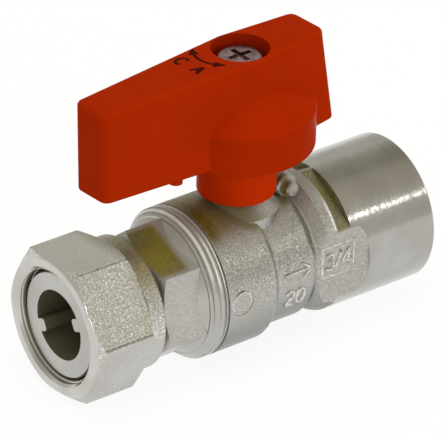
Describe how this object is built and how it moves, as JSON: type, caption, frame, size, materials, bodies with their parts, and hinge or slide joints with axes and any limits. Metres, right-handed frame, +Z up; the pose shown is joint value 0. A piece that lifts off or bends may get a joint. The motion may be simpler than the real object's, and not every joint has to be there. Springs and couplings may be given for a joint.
{
  "type": "straight union ball valve",
  "caption": "Straight quarter-turn ball valve with a union nut and tailpiece at the inlet, a female pipe socket at the outlet and a red wing handle on top.",
  "frame": {"origin": "centre of the outlet thread's outer end, on the pipe's axis", "axes": "+X along the pipe, out of the outlet; +Z up the stem to the handle; the front with the forging marks faces -Y"},
  "size_m": [0.0892, 0.0344, 0.0682],
  "materials": {
    "forged_nickel": "sand-blasted forging, nickel plated",
    "turned_nickel": "turned, nickel plated",
    "nut_nickel": "turned and lightly blasted, nickel plated",
    "ball_chrome": "polished chrome",
    "seat_ptfe": "white fluoropolymer",
    "stem_brass": "turned brass",
    "seal_rubber": "black rubber",
    "handle_red": "glossy red moulding",
    "screw_zinc": "bright zinc plate"
  },
  "bodies": {
    "valve": {"valve_body": "forged_nickel", "end_connector": "turned_nickel", "tailpiece": "turned_nickel", "seat_inlet": "seat_ptfe", "seat_outlet": "seat_ptfe"},
    "lever": {"handle": "handle_red", "handle_screw": "screw_zinc", "stem": "stem_brass", "stem_washer": "seat_ptfe", "stem_seal_lower": "seal_rubber", "stem_seal_upper": "seal_rubber", "ball": "ball_chrome"},
    "nut": {"union_nut": "nut_nickel"}
  },
  "joints": [
    {"name": "lever_turn", "type": "hinge", "parent": "valve", "child": "lever", "pos_m": [-0.04137, 0, 0], "axis": [0, 0, 1], "range_deg": [-90, 0]},
    {"name": "nut_spin", "type": "hinge", "parent": "valve", "child": "nut", "pos_m": [-0.08857, 0, 0], "axis": [-1, 0, 0], "continuous": true}
  ]
}
